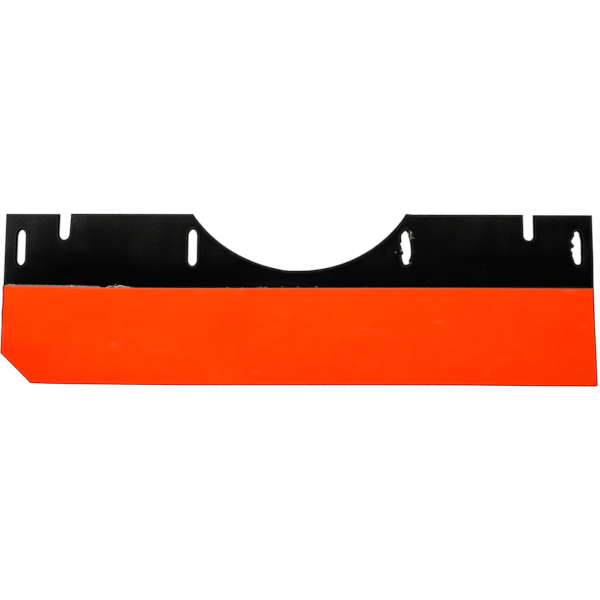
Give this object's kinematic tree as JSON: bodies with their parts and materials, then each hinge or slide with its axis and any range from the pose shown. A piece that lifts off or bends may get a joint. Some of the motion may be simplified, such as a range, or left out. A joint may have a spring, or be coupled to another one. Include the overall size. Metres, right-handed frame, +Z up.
{
  "type": "atv plow blade",
  "caption": "Flat flexible plow blade for an ATV: a slotted black rubber sheet with a half-round scoop and a bonded orange wear strip.",
  "frame": {"origin": "the middle of the width and of the thickness, at the height of the cutting edge", "axes": "+X to the right seen from the front, -Y forward out of the front face, +Z up"},
  "size_m": [1.2192, 0.013, 0.353],
  "materials": {
    "black_rubber": "calendered black rubber with a soft sheen",
    "ply_fabric": "woven polyester",
    "tie_gum": "matt black gum",
    "adhesive": "dried pale adhesive",
    "orange_urethane": "satin cast polyurethane"
  },
  "bodies": {
    "root": {"front_cover_rubber": "black_rubber", "front_fabric_ply": "ply_fabric", "tie_gum_layer": "tie_gum", "rear_fabric_ply": "ply_fabric", "rear_cover_rubber": "black_rubber", "bond_film": "adhesive", "bond_squeeze_out": "adhesive", "wear_strip": "orange_urethane"}
  },
  "joints": []
}
